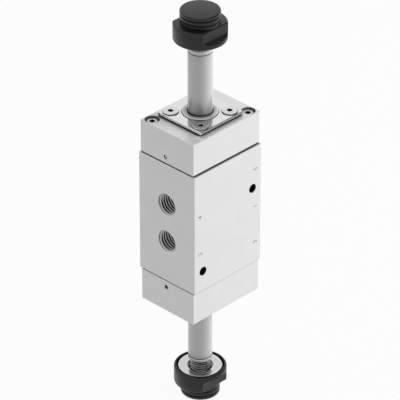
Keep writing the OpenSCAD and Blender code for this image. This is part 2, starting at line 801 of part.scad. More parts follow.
module nut_insert() {
    mouth_r = insert_mouth_d / 2;
    bore_r = nut_bore / 2;
    translate([0, 0, nut_face]) rotate_extrude() difference() {
        insert_outline(0);
        square([bore_r, nut_h]);
        polygon([[0, washer_top], [mouth_r, washer_top], [bore_r, washer_top + mouth_r - bore_r],
            [0, washer_top + mouth_r - bore_r]]);
    }
}

// Half section of the nut, with the washer's recess, the insert's seat and the cap's seat inside
module nut_section() {
    r = nut_d / 2;
    recess_r = washer_d / 2 + washer_side;
    difference() {
        translate([0, nut_face]) union() {
            polygon([[0, 0], [r - rim_chamfer, 0], [r, rim_chamfer],
                [r, nut_h - nut_edge_r], [0, nut_h - nut_edge_r]]);
            square([r - nut_edge_r, nut_h]);
            translate([r - nut_edge_r, nut_h - nut_edge_r]) circle(nut_edge_r);
        }
        translate([0, nut_face]) polygon([[0, -past], [recess_r - washer_lip + past, -past],
            [recess_r - washer_lip, 0], [recess_r - washer_lip, washer_sink - washer_lip - seated],
            [recess_r, washer_sink - seated], [recess_r, washer_top], [0, washer_top]]);
        translate([0, nut_face]) insert_outline(seated);
        translate([0, nut_face]) square([web_bore / 2, nut_h]);
        translate([0, nut_end - skirt_h - stop_gap]) square([skirt_d / 2 + seated, skirt_h + past]);
    }
}

// Side view of the nut: two flats that run out in a radius above the round rim
module nut_side_view() {
    half = flats_w / 2;
    difference() {
        translate([0, nut_face]) union() {
            translate([-nut_d, -past]) square([2 * nut_d, past + ledge_h + ledge_r]);
            translate([-half, 0]) square([flats_w, nut_h - nut_edge_r]);
            translate([nut_edge_r - half, 0]) square([flats_w - 2 * nut_edge_r, nut_h]);
            for (s = [-1, 1]) translate([s * (half - nut_edge_r), nut_h - nut_edge_r]) circle(nut_edge_r);
        }
        for (s = [-1, 1]) scale([s, 1]) translate([half + ledge_r, nut_face + ledge_h]) {
            translate([0, ledge_r]) circle(ledge_r);
            square([nut_d, ledge_r + past]);
        }
    }
}

module coil_nut() {
    intersection() {
        rotate_extrude() nut_section();
        rotate([90, 0, 0]) linear_extrude(nut_d + past, center = true) nut_side_view();
    }
}

// The gaps between the discs open through windows into the hollow over the stud
module exhaust_cap() {
    disc_h = (disc_stack - 2 * disc_gap) / 3;
    cap_r = disc_d / 2;
    hollow_r = skirt_d / 2 - skirt_wall;
    difference() {
        rotate_extrude() difference() {
            union() {
                translate([0, nut_end - skirt_h]) square([skirt_d / 2, skirt_h + disc_h]);
                translate([0, nut_end]) square([cap_r - disc_gap_depth, disc_stack - disc_edge_r]);
                for (i = [0, 1])
                    translate([0, nut_end + i * (disc_h + disc_gap)]) square([cap_r, disc_h]);
                translate([0, valve_end - disc_h]) square([cap_r, disc_h - disc_edge_r]);
                translate([0, valve_end - disc_h]) square([cap_r - disc_edge_r, disc_h]);
                translate([cap_r - disc_edge_r, valve_end - disc_edge_r]) circle(disc_edge_r);
            }
            translate([0, nut_end - skirt_h - past])
                square([hollow_r, skirt_h + past + disc_stack - disc_h]);
        }
        for (i = [0, 1], a = [0, 90]) rotate([0, 0, a])
            translate([-cap_r, -window_w / 2, nut_end + disc_h + i * (disc_h + disc_gap)])
                cube([disc_d, window_w, disc_gap]);
    }
}

module top_nut_washer() color("silver") nut_washer();
module bottom_nut_washer() color("silver") turned_over() nut_washer();
module top_nut_insert() color("silver") nut_insert();
module bottom_nut_insert() color("silver") turned_over() nut_insert();
module top_coil_nut() color("#3a3a3a") coil_nut();
module bottom_coil_nut() color("#3a3a3a") turned_over() coil_nut();
module top_exhaust_cap() color("#303030") exhaust_cap();
module bottom_exhaust_cap() color("#303030") turned_over() exhaust_cap();

valve_body();
spool();
spool_seals();
port_cages();
top_piston();
bottom_piston();
top_piston_seal();
bottom_piston_seal();
top_piston_sleeve();
bottom_piston_sleeve();
top_cap_gasket();
bottom_cap_gasket();
top_end_cap();
bottom_end_cap();
top_cap_screws();
bottom_cap_screws();
top_channel_ball();
bottom_channel_ball();
top_pilot_seat();
bottom_pilot_seat();
top_tube_seal();
bottom_tube_seal();
top_flange_gasket();
bottom_flange_gasket();
top_flange_plate();
bottom_flange_plate();
top_flange_screws();
bottom_flange_screws();
top_armature_tube();
bottom_armature_tube();
top_fixed_core();
bottom_fixed_core();
top_shading_ring();
bottom_shading_ring();
top_armature();
bottom_armature();
top_armature_discs();
bottom_armature_discs();
top_armature_spring();
bottom_armature_spring();
top_nut_washer();
bottom_nut_washer();
top_nut_insert();
bottom_nut_insert();
top_coil_nut();
bottom_coil_nut();
top_exhaust_cap();
bottom_exhaust_cap();
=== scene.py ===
# Bistable 5/2-way spool valve with a bare solenoid tube and a coil nut at each end.
# Sizes in the sections are millimetres, and every mesh is made in metres in the CAD model's frame.

import math

import bmesh
import bpy
from mathutils import Matrix, Vector


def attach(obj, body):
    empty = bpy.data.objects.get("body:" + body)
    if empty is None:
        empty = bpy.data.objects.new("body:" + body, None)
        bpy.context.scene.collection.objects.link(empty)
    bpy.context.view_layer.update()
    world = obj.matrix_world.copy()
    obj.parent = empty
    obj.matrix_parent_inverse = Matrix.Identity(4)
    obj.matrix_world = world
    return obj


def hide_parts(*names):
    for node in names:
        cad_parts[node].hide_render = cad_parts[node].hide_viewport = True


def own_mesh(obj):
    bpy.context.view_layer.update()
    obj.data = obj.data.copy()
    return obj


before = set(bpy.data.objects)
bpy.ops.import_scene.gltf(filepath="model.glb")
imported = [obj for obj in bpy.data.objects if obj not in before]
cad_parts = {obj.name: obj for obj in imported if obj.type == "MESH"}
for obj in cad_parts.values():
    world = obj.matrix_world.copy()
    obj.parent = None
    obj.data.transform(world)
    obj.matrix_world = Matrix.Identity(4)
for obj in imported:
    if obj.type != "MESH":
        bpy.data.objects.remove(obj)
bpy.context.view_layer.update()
MM = 0.001


# Valve body
# A milled block of aluminium, matt clear anodised, with the spool bore drilled through it.
# It keeps the CAD solid. The anodised coat gives an even pale grey with soft reflections.

def linear(code):
    """An sRGB hex colour as the linear colour that a shader takes."""
    parts = [int(code[i:i + 2], 16) / 255 for i in (0, 2, 4)]
    return [c / 12.92 if c <= 0.04045 else ((c + 0.055) / 1.055) ** 2.4 for c in parts] + [1.0]


def add_node(material, kind, settings, links=None):
    """Adds a node to a material. Its settings are properties or socket values, and links bring other outputs."""
    node = material.node_tree.nodes.new(kind)
    for name, value in settings.items():
        if isinstance(name, str) and hasattr(node, name):
            setattr(node, name, value)
        else:
            node.inputs[name].default_value = value
    for name, output in (links or {}).items():
        material.node_tree.links.new(output, node.inputs[name])
    return node


def new_material(name):
    """An empty node material with only its output, and the shader input that its surface goes to."""
    material = bpy.data.materials.new(name)
    material.use_nodes = True
    material.node_tree.nodes.clear()
    output = material.node_tree.nodes.new("ShaderNodeOutputMaterial")
    return material, output.inputs["Surface"]


def grain(material, size, stretch=(1, 1, 1)):
    """Noise of a real size in mm on the object's own coordinates, stretched along an axis where it is below 1."""
    place = add_node(material, "ShaderNodeTexCoord", {})
    scaled = add_node(material, "ShaderNodeMapping", {"Scale": stretch}, {"Vector": place.outputs["Object"]})
    noise = add_node(material, "ShaderNodeTexNoise", {"Scale": 1 / (size * MM), "Detail": 2.0},
                     {"Vector": scaled.outputs["Vector"]})
    return noise.outputs["Fac"]


def spread(material, value, low, high):
    """Turns a noise value, which stays near a half, into a range between two numbers."""
    ranged = add_node(material, "ShaderNodeMapRange",
                      {"From Min": 0.3, "From Max": 0.7, "To Min": low, "To Max": high}, {"Value": value})
    return ranged.outputs["Result"]


def mixed(material, value, low, high):
    """A colour between two hex colours, led by a value from 0 to 1."""
    mix = add_node(material, "ShaderNodeMix", {"data_type": "RGBA", 6: linear(low), 7: linear(high)}, {0: value})
    return mix.outputs[2]


def bumped(material, value, height):
    """A bump of a real height in mm."""
    bump = add_node(material, "ShaderNodeBump", {"Strength": 1.0, "Distance": height * MM}, {"Height": value})
    return bump.outputs["Normal"]


def painted_hollow_shade(material, colour, reach, dark, shut, clear=0.95):
    """Paints shade into a colour in hollows up to a reach in mm, where little light gets in.

    It is all dark where no more than the share shut of the view is open, and unchanged from the share clear on.
    """
    openness = add_node(material, "ShaderNodeAmbientOcclusion", {"samples": 16, "Distance": reach * MM})
    share = add_node(material, "ShaderNodeMapRange", {"From Min": shut, "From Max": clear},
                     {"Value": openness.outputs["AO"]})
    mix = add_node(material, "ShaderNodeMix", {"data_type": "RGBA", 6: linear(dark)},
                   {0: share.outputs["Result"], 7: colour})
    return mix.outputs[2]


def clear_anodised(name, colours, metallic, stretch, reach, shut, clear):
    """Milled aluminium under a thin anodised coat: fine milling lines, a faint cloudiness in the colour, and
    painted shade in hollows.
    """
    line_size, line_height, cloud_size = 0.35, 0.00004, 14.0
    material, surface = new_material(name)
    lines = grain(material, line_size, stretch)
    clouds = spread(material, grain(material, cloud_size), 0.0, 1.0)
    shader = add_node(material, "ShaderNodeBsdfPrincipled", {"Metallic": metallic}, {
        "Base Color": painted_hollow_shade(material, mixed(material, clouds, *colours), reach, "0C0C0C", shut, clear),
        "Roughness": spread(material, lines, 0.28, 0.30),
        "Normal": bumped(material, lines, line_height)})
    material.node_tree.links.new(shader.outputs["BSDF"], surface)
    return material


def dress(node, material):
    """Gives a CAD solid its material."""
    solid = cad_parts[node]
    solid.data.materials.clear()
    solid.data.materials.append(material)


# The milling lines run along the bore. The deep reach paints shade only into the mouths of the holes.
body_finish = clear_anodised("milled_clear_anodised_aluminium", ("DBDBDC", "DEDEDF"), metallic=0.45,
                             stretch=(1, 1, 0.08), reach=14, shut=0.35, clear=0.75)
dress("valve_body", body_finish)


# Port threads
# Five G 1/4 threads, tapped into the body, each drawn as a ridge wound inside the bore, which the CAD leaves plain
# at the larger diameter. The real pitch of 1.337 mm is too fine to show in the render, so it is drawn as coarse as
# the photograph shows it, 1.8 mm, with dark valleys between light crests.

sharp_degrees = 35


def place_mesh(name, bm, material, body):
    """Makes an object of a finished bmesh, smooth except at sharp edges, that rides on a CAD body."""
    bmesh.ops.recalc_face_normals(bm, faces=bm.faces)
    mesh = bpy.data.meshes.new(name)
    bm.to_mesh(mesh)
    bm.free()
    mesh.polygons.foreach_set("use_smooth", [True] * len(mesh.polygons))
    mesh.set_sharp_from_angle(angle=math.radians(sharp_degrees))
    mesh.materials.append(material)
    piece = bpy.data.objects.new(name, mesh)
    bpy.context.scene.collection.objects.link(piece)
    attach(piece, body)
    return piece


def wind(bm, section, pitch, turns, start):
    """Winds a closed section of (radius, height) points about Z as a right-hand thread, upwards from start."""
    steps = 48
    corners = [bm.verts.new((r * MM, 0, (start + z) * MM)) for r, z in section]
    loop = [bm.edges.new(pair) for pair in zip(corners, corners[1:] + corners[:1])]
    bm.faces.new(corners)
    count = round(turns * steps)
    made = bmesh.ops.spin(bm, geom=corners + loop, cent=(0, 0, 0), axis=(0, 0, 1),
                          dvec=(0, 0, pitch * MM / steps), angle=math.tau * count / steps, steps=count)
    bm.faces.new([v for v in made["geom_last"] if isinstance(v, bmesh.types.BMVert)])


# The tapped thread is coloured greyer than the faces, and painted shade darkens its valleys.
tapped_finish = clear_anodised("tapped_clear_anodised_aluminium", ("B0B0B1", "B6B6B7"), metallic=0.75,
                               stretch=(1, 1, 1), reach=1.4, shut=0.42, clear=0.85)
port_mouths = {"port_1": (1, 0), "port_2": (-1, -12), "port_3": (1, -24), "port_4": (-1, 12), "port_5": (1, 24)}
port_root, port_crest, port_pitch, port_depth, port_face = 6.75, 5.72, 1.8, 12.0, 26.8
top_room, mouth_gap, fade_h = 1.2, 0.1, 0.6
ridge = [(port_root, 0.0), (port_crest, 0.25), (port_crest, 0.5), (port_crest + 0.3, 0.78), (port_root, 1.1)]
for name, (side, height) in port_mouths.items():
    bm = bmesh.new()
    wind(bm, ridge, port_pitch, (port_depth - top_room) / port_pitch, port_face - port_depth)
    # The ridge fades out into the wall just inside the mouth.
    for v in bm.verts:
        fade = min(1.0, max(0.0, (port_face - mouth_gap - v.co.z / MM) / fade_h))
        radius = v.co.xy.length
        v.co.xy *= (port_root * MM - (port_root * MM - radius) * fade) / radius
    bmesh.ops.rotate(bm, verts=bm.verts, cent=(0, 0, 0), matrix=Matrix.Rotation(-side * math.pi / 2, 3, "X"))
    bmesh.ops.translate(bm, verts=bm.verts, vec=(0, 0, height * MM))
    place_mesh(name + "_thread", bm, tapped_finish, "housing")


# Port numbers
# Small plain digits beside the ports, with their tops towards the working ports. A laser burns them into the coat
# as a dull dark grey. Here they stand a hair out of the face, because the CAD solid has no pocket for them.

marking, surface = new_material("laser_marking")
shader = add_node(marking, "ShaderNodeBsdfPrincipled", {"Base Color": linear("6E6E70"), "Roughness": 0.6})
marking.node_tree.links.new(shader.outputs["BSDF"], surface)
digit_height, font_ratio, mark_depth, face_x = 3.0, 1.4, 0.01, 21.5
merge_dist = 1e-7
tipped = Matrix(((0, 0, 1), (0, -1, 0), (1, 0, 0)))
digit_places = {"4": (-22.0, 11.0), "2": (-22.0, -13.0), "5": (22.3, 23.4), "1": (22.3, -0.9), "3": (22.3, -24.4)}
for digit, (y, z) in digit_places.items():
    curve = bpy.data.curves.new("digit", "FONT")
    curve.body, curve.align_x, curve.align_y = digit, "CENTER", "CENTER"
    curve.size, curve.extrude = digit_height * font_ratio * MM, mark_depth * MM
    text = bpy.data.objects.new("digit", curve)
    bpy.context.scene.collection.objects.link(text)
    bpy.context.view_layer.update()
    mesh = bpy.data.meshes.new_from_object(text.evaluated_get(bpy.context.evaluated_depsgraph_get()))
    bpy.data.objects.remove(text)
    bm = bmesh.new()
    bm.from_mesh(mesh)
    bmesh.ops.remove_doubles(bm, verts=bm.verts, dist=merge_dist)
    bmesh.ops.transform(bm, matrix=tipped.to_4x4(), verts=bm.verts)
    bmesh.ops.translate(bm, verts=bm.verts, vec=Vector((face_x, y, z)) * MM)
    place_mesh("number_" + digit, bm, marking, "housing")


# End caps
# Two smaller blocks of the same aluminium, turned over for the bottom, each screwed on over a black gasket.
# Their open faces are fly-cut, with lines across them, and moulded nitrile rubber gives the seals a dead black.

# Painted shade darkens the counterbores and paints a soft shadow on each cap beside its flange plate.
cap_finish = clear_anodised("fly_cut_clear_anodised_aluminium", ("DBDBDC", "DFDFE0"), metallic=0.45,
                            stretch=(0.08, 1, 1), reach=2.2, shut=0.2, clear=0.9)
nitrile, surface = new_material("moulded_nitrile_rubber")
nitrile_settings = {"Base Color": linear("0C0C0D"), "Specular IOR Level": 0.15}
shader = add_node(nitrile, "ShaderNodeBsdfPrincipled", nitrile_settings,
                  {"Roughness": spread(nitrile, grain(nitrile, 0.4), 0.55, 0.75)})
nitrile.node_tree.links.new(shader.outputs["BSDF"], surface)
for end in ("top", "bottom"):
    dress(end + "_end_cap", cap_finish)
    for part in ("cap_gasket", "tube_seal", "flange_gasket", "piston_seal"):
        dress(end + "_" + part, nitrile)
dress("spool_seals", nitrile)


# Socket screws of the caps
# Zinc plated cylinder-head screws, two on one diagonal of each cap, sunk into counterbores.
# The plating gives a bright, slightly uneven silver.

def plated_steel(name, colours, low, high, reach=3, metallic=0.85, dark="080808", shut=0.4):
    """Steel under a bright plating: faint spots in its colour, a gloss between two roughnesses, and painted shade
    in hollows.
    """
    spot_size, fine_size = 1.2, 0.3
    material, surface = new_material(name)
    spots = spread(material, grain(material, spot_size), 0, 1)
    shader = add_node(material, "ShaderNodeBsdfPrincipled", {"Metallic": metallic}, {
        "Base Color": painted_hollow_shade(material, mixed(material, spots, *colours), reach, dark, shut),
        "Roughness": spread(material, grain(material, fine_size), low, high)})
    material.node_tree.links.new(shader.outputs["BSDF"], surface)
    return material


def rounded(bm, edges, radius, segments=4, clamp=False):
    """Rounds edges with a radius in mm."""
    bmesh.ops.bevel(bm, geom=edges, offset=radius * MM, offset_type="OFFSET", segments=segments, profile=0.5,
                    affect="EDGES", material=-1, clamp_overlap=clamp)


def socket_screw(bm, head_r, head_h, round_r, hexagon, depth, shank_r, shank_l):
    """A socket screw whose head's top is at height 0: a rounded head with a hexagonal socket, and a shank."""
    steps, tip, socket_edge, slack = 48, 0.4, 0.12, 0.01
    rim = bmesh.ops.create_circle(bm, cap_ends=False, radius=head_r * MM, segments=steps)["verts"]
    mouth = bmesh.ops.create_circle(bm, cap_ends=False, radius=hexagon / 2 * MM, segments=steps)["verts"]
    # The mouth's points move out from a circle onto the hexagon round it.
    sixth = math.pi / 3
    for v in mouth:
        v.co *= 1 / math.cos((math.atan2(v.co.y, v.co.x) + sixth / 2) % sixth - sixth / 2)
    mouth_edges = list({e for v in mouth for e in v.link_edges})
    rim_edges = list({e for v in rim for e in v.link_edges})
    bmesh.ops.bridge_loops(bm, edges=rim_edges + mouth_edges)

    def step_down(edges, drop, radius=None):
        made = bmesh.ops.extrude_edge_only(bm, edges=edges)["geom"]
        verts = [v for v in made if isinstance(v, bmesh.types.BMVert)]
        bmesh.ops.translate(bm, verts=verts, vec=(0, 0, -drop * MM))
        if radius is not None:
            size = radius * MM / verts[0].co.xy.length
            bmesh.ops.scale(bm, verts=verts, vec=(size, size, 1))
        return [e for e in made if isinstance(e, bmesh.types.BMEdge)]

    def top_edges(inner, outer):
        return [e for e in bm.edges if all(abs(v.co.z) < merge_dist and inner * MM < v.co.xy.length < outer * MM
                                           for v in e.verts)]

    bmesh.ops.edgeloop_fill(bm, edges=step_down(mouth_edges, depth))
    side = step_down(rim_edges, head_h)
    side = step_down(side, 0, shank_r)
    side = step_down(side, shank_l - tip)
    side = step_down(side, tip, shank_r - tip)
    bmesh.ops.edgeloop_fill(bm, edges=side)
    bmesh.ops.recalc_face_normals(bm, faces=bm.faces)
    rounded(bm, top_edges(head_r - slack, head_r + slack), round_r)
    rounded(bm, top_edges(0, hexagon * 0.6), socket_edge, segments=1)


def turned_for(end, bm):
    """The bottom end's pieces are the top end's, turned over about X."""
    if end == "bottom":
        bmesh.ops.rotate(bm, verts=bm.verts, cent=(0, 0, 0), matrix=Matrix.Rotation(math.pi, 3, "X"))
    return bm


def place_screws(places, end, **sizes):
    """One mesh of equal screws at (x, y, height, angle) places of the top end, turned over for the bottom end."""
    whole = bmesh.new()
    for x, y, height, angle in places:
        one = bmesh.new()
        socket_screw(one, **sizes)
        bmesh.ops.rotate(one, verts=one.verts, cent=(0, 0, 0), matrix=Matrix.Rotation(math.radians(angle), 3, "Z"))
        bmesh.ops.translate(one, verts=one.verts, vec=Vector((x, y, height)) * MM)
        mesh = bpy.data.meshes.new("one")
        one.to_mesh(mesh)
        one.free()
        whole.from_mesh(mesh)
        bpy.data.meshes.remove(mesh)
    return turned_for(end, whole)


# Painted shade darkens the screws in their sockets and other hollows.
zinc = plated_steel("bright_zinc_plated_steel", ("B4B4B2", "D0D0CE"), low=0.22, high=0.38)
screw_x, screw_y, screw_top = 15.65, 21.8, 57.6
for end in ("top", "bottom"):
    bm = place_screws([(screw_x, screw_y, screw_top, 12), (-screw_x, -screw_y, screw_top, 40)], end,
                      head_r=3.4, head_h=4.0, round_r=0.4, hexagon=3.0, depth=2.0, shank_r=2.0, shank_l=22.0)
    screws = place_mesh(end + "_cap_socket_screws", bm, zinc, "housing")
    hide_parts(end + "_cap_screws")
    dress(end + "_channel_ball", zinc)


# Flange plates
# A square steel plate clamps each solenoid tube on its cap, over a thin black gasket. It is ground and plated
# smooth, so it mirrors the tube softly. The low heads of its four screws are ground too, and each screw is
# tightened to an angle of its own.

# Painted shade darkens the plates and the screw heads in their hollows, the heads most in their sockets.
plate_finish = plated_steel("smooth_plated_plate", ("DCDDDE", "E0E1E2"), low=0.08, high=0.11, reach=0.8,
                            metallic=1.0)
ground_zinc = plated_steel("ground_zinc_plated_head", ("D0D1D1", "D8D9D9"), low=0.08, high=0.14, reach=1.5,
                           metallic=1.0, dark="1C1C1C", shut=0.5)
plate_screw_xy, plate_screw_top = 11.5, 61.7
for end in ("top", "bottom"):
    dress(end + "_flange_plate", plate_finish)
    bm = place_screws([(sx * plate_screw_xy, sy * plate_screw_xy, plate_screw_top, 15 + 20 * sx + 7 * sy)
                       for sx in (-1, 1) for sy in (-1, 1)], end,
                      head_r=4.5, head_h=1.5, round_r=0.18, hexagon=3.0, depth=1.2, shank_r=2.5, shank_l=9.0)
    screws = place_mesh(end + "_plate_socket_screws", bm, ground_zinc, "housing")
    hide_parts(end + "_flange_screws")


# Solenoid tubes
# A turned tube of magnetic stainless steel with a rounded collar at its foot, which the plate holds down.
# Turning leaves very fine rings round it, which draw the reflections out along its length.

def turn(points, rounds):
    """Spins a closed half section of (radius, height) points about Z, and rounds the edges that rounds lists.

    Each of rounds is the radius and height of an edge, and the radius that it is rounded with.
    """
    steps, slack = 96, 2e-6
    bm = bmesh.new()
    corners = [bm.verts.new((r * MM, 0, z * MM)) for r, z in points]
    sides = [bm.edges.new(pair) for pair in zip(corners, corners[1:] + corners[:1])]
    bmesh.ops.spin(bm, geom=corners + sides, cent=(0, 0, 0), axis=(0, 0, 1), angle=math.tau, steps=steps,
                   use_merge=True)
    bmesh.ops.remove_doubles(bm, verts=bm.verts, dist=merge_dist)
    bmesh.ops.recalc_face_normals(bm, faces=bm.faces)
    for r, z, radius in rounds:
        ring = [e for e in bm.edges if all(abs(v.co.xy.length - r * MM) < slack and abs(v.co.z - z * MM) < slack
                                           for v in e.verts)]
        rounded(bm, ring, radius, clamp=True)
    return bm


def turned_steel(name, colours, metallic, low=0.2, high=0.32, reach=1.0, foot_reach=None):
    """Metal from a lathe: fine rings in gloss and bump, faint clouds in the colour, and painted shade in its
    hollows.

    A foot_reach in mm paints shade on the foot, where the metal stands on what holds it.
    """
    ring_size, ring_height, cloud_size = 0.25, 0.0002, 6.0
    material, surface = new_material(name)
    rings = grain(material, ring_size, (0.02, 0.02, 1))
    clouds = spread(material, grain(material, cloud_size, (1, 1, 0.3)), 0, 1)
    colour = mixed(material, clouds, *colours)
    # Painted shade on the foot, where it stands on what holds it.
    if foot_reach:
        colour = painted_hollow_shade(material, colour, foot_reach, "7C7C7E", 0.5)
    shader = add_node(material, "ShaderNodeBsdfPrincipled", {"Metallic": metallic}, {
        "Base Color": painted_hollow_shade(material, colour, reach, "0A0A0A", 0.3),
        "Roughness": spread(material, rings, low, high),
        "Normal": bumped(material, rings, ring_height)})
    material.node_tree.links.new(shader.outputs["BSDF"], surface)
    return material


# The tube looks dull, as annealed stainless steel does. Its collar is a lighter copy of the same steel, a painted
# highlight, and painted shade darkens both towards their foot.
tube_steel = turned_steel("turned_stainless_tube", ("BEBEBF", "C3C3C4"), metallic=0.36, high=0.26, reach=1.6,
                          foot_reach=14)
collar_steel_painted_highlight = turned_steel("turned_stainless_collar_painted_highlight", ("D2D2D3", "D8D8D9"), metallic=0.6, high=0.26,
                            foot_reach=8)
tube_r, tube_bore, tube_foot, tube_top = 7.0, 5.6, 58.6, 99.5
flange_r, flange_top, collar_r, collar_top, collar_bore = 12.2, 59.8, 10.3, 61.9, 6.98
gutter_r, gutter_low, collar_round, fine_round = 7.4, 61.3, 0.85, 0.15
for end in ("top", "bottom"):
    bm = turn([(tube_bore, tube_foot), (tube_r, tube_foot), (tube_r, tube_top), (tube_bore, tube_top)],
              [(tube_r, tube_top, fine_round)])
    tube = place_mesh(end + "_solenoid_tube", turned_for(end, bm), tube_steel, "housing")
    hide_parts(end + "_armature_tube")
    bm = turn([(collar_bore, tube_foot), (flange_r, tube_foot), (flange_r, flange_top), (collar_r, flange_top),
               (collar_r, collar_top), (gutter_r, collar_top), (gutter_r, gutter_low), (collar_bore, gutter_low)],
              [(collar_r, collar_top, collar_round), (gutter_r, collar_top, fine_round)])
    place_mesh(end + "_tube_collar", turned_for(end, bm), collar_steel_painted_highlight, "housing")


# Fixed cores
# The core closes the tube. Outside it has a head of the tube's diameter, and a stud of 1.5 mm pitch for the coil
# nut, drawn 11.8 mm over its crests as in the photograph. It is turned from bar. The rolled thread is coloured
# darker than the head: painted shade from the nut round it.

core_steel = turned_steel("turned_stainless_core", ("C4C4C5", "CACACB"), metallic=0.4, high=0.26)
# The thread's darker colour is painted shade from the nut round it.
stud_steel_painted_shade = turned_steel("rolled_stainless_thread", ("8C8C8D", "929293"), metallic=0.7, high=0.28, reach=1.5)
vent_r, seat_r, seat_face, core_face, core_r = 1.0, 1.3, 79.72, 80.02, 5.58
head_groove_r, head_low, head_top, head_round, neck_r, stud_top = 6.6, 99.9, 102.2, 0.9, 5.0, 115.5
stud_pitch, stud_turns, stud_low = 1.5, 7.4, 102.7
stud_section = [(4.9, 0.0), (5.83, 0.55), (5.9, 0.63), (5.9, 0.87), (5.83, 0.95), (4.9, stud_pitch)]
for end in ("top", "bottom"):
    bm = turn([(vent_r, seat_face), (seat_r, seat_face), (seat_r, core_face), (core_r, core_face),
               (core_r, tube_top), (head_groove_r, tube_top), (head_groove_r, head_low), (tube_r, head_low),
               (tube_r, head_top), (neck_r, head_top), (neck_r, stud_top), (vent_r, stud_top)],
              [(tube_r, head_top, head_round), (tube_r, head_low, 0.12), (neck_r, stud_top, 0.4)])
    core = place_mesh(end + "_core", turned_for(end, bm), core_steel, "housing")
    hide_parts(end + "_fixed_core")
    bm = bmesh.new()
    wind(bm, stud_section, stud_pitch, stud_turns, stud_low)
    place_mesh(end + "_stud_thread", turned_for(end, bm), stud_steel_painted_shade, "housing")


# Coil nuts
# Moulded in black glass-filled polyamide: round, with two flats for a spanner that run out in a radius. The grain
# of the mould breaks the gloss, and the edges are softly rounded. The washer's recess is painted shade, darker and
# duller.

def moulded(name, colours, low, high, gloss=0.32):
    """Moulded plastic or rubber: the fine grain of the mould in gloss and bump, and faint clouds in the colour."""
    mould_grain, grain_height, cloud_size = 0.22, 0.001, 3.0
    material, surface = new_material(name)
    fine = grain(material, mould_grain)
    shader = add_node(material, "ShaderNodeBsdfPrincipled", {"Specular IOR Level": gloss}, {
        "Base Color": mixed(material, spread(material, grain(material, cloud_size), 0, 1), *colours),
        "Roughness": spread(material, fine, low, high),
        "Normal": bumped(material, fine, grain_height)})
    material.node_tree.links.new(shader.outputs["BSDF"], surface)
    return material


def cut_to(piece, cutter, operation):
    """Cuts a piece with a closed bmesh, or keeps what the two share."""
    mesh = bpy.data.meshes.new("cutter")
    bmesh.ops.recalc_face_normals(cutter, faces=cutter.faces)
    cutter.to_mesh(mesh)
    cutter.free()
    tool = bpy.data.objects.new("cutter", mesh)
    bpy.context.scene.collection.objects.link(tool)
    cut = piece.modifiers.new("cut", "BOOLEAN")
    cut.object, cut.operation, cut.solver = tool, operation, "EXACT"
    bpy.context.view_layer.update()
    shaped = bpy.data.meshes.new_from_object(piece.evaluated_get(bpy.context.evaluated_depsgraph_get()))
    piece.modifiers.clear()
    shaped.name = piece.name
    piece.data = shaped
    bpy.data.objects.remove(tool)


polyamide = moulded("moulded_black_polyamide", ("0F0F10", "131314"), low=0.3, high=0.38, gloss=0.4)
# A darker, duller copy of the polyamide paints shade in the washer's recess.
recess_painted_shade = moulded("black_polyamide_recess_painted_shade", ("050505", "070707"), low=0.6, high=0.7, gloss=0.05)
rim_z, nut_h, nut_r, flat_x, ledge_h, run_out, edge_r, lip_r = 107.1, 10.5, 15.2, 11.65, 2.7, 3.2, 0.9, 13.9
end_z, ledge_z = rim_z + nut_h, rim_z + ledge_h
washer_seat_r, washer_seat_h, nut_bore, cap_seat_r, cap_seat_z = 13.21, 1.82, 6.3, 7.72, 114.5
insert_seat_r, key_r, key_low, key_top, insert_seat_top = 8.52, 7.72, 3.44, 4.8, 6.44
cutter_x, cutter_y, flat_sharp_degrees = nut_r + 2, 20, 30
for end in ("top", "bottom"):
    bm = turn([(nut_bore, cap_seat_z), (cap_seat_r, cap_seat_z), (cap_seat_r, end_z), (nut_r, end_z),
               (nut_r, rim_z), (lip_r, rim_z), (lip_r, rim_z + 1.4), (washer_seat_r, rim_z + 1.45),
               (washer_seat_r, rim_z + washer_seat_h), (insert_seat_r, rim_z + washer_seat_h),
               (insert_seat_r, rim_z + key_low), (key_r, rim_z + key_low), (key_r, rim_z + key_top),
               (insert_seat_r, rim_z + key_top), (insert_seat_r, rim_z + insert_seat_top),
               (nut_bore, rim_z + insert_seat_top)],
              [(nut_r, end_z, edge_r), (nut_r, rim_z, edge_r), (cap_seat_r, end_z, fine_round)])
    nut = place_mesh(end + "_spanner_nut", turned_for(end, bm), polyamide, end + "_nut")
    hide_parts(end + "_coil_nut")
    # The nut is cut to a long bar, whose section has the two flats above a full-width ledge.
    bar = bmesh.new()
    outline = [(-cutter_x, rim_z - 1), (cutter_x, rim_z - 1), (cutter_x, ledge_z), (flat_x, ledge_z),
               (flat_x, end_z), (-flat_x, end_z), (-flat_x, ledge_z), (-cutter_x, ledge_z)]
    face = bar.faces.new([bar.verts.new((x * MM, -cutter_y * MM, z * MM)) for x, z in outline])
    pulled = bmesh.ops.extrude_face_region(bar, geom=[face])["geom"]
    bmesh.ops.translate(bar, verts=[v for v in pulled if isinstance(v, bmesh.types.BMVert)],
                        vec=(0, 2 * cutter_y * MM, 0))
    for height, radius in ((ledge_z, run_out), (end_z, edge_r)):
        on_line = [v for v in bar.verts
                   if abs(abs(v.co.x) - flat_x * MM) < 1e-6 and abs(v.co.z - height * MM) < 1e-6]
        along = [e for e in bar.edges
                 if all(v in on_line for v in e.verts) and abs(e.verts[0].co.y - e.verts[1].co.y) > cutter_y * MM]
        rounded(bar, along, radius, segments=10)
    cut_to(nut, turned_for(end, bar), "INTERSECT")
    nut.data.set_sharp_from_angle(angle=math.radians(flat_sharp_degrees))
    # The washer's recess takes the painted shade.
    nut.data.materials.append(recess_painted_shade)
    for face in nut.data.polygons:
        if face.center.xy.length < (lip_r + 0.05) * MM and rim_z < abs(face.center.z) / MM < rim_z + 1.8:
            face.material_index = 1
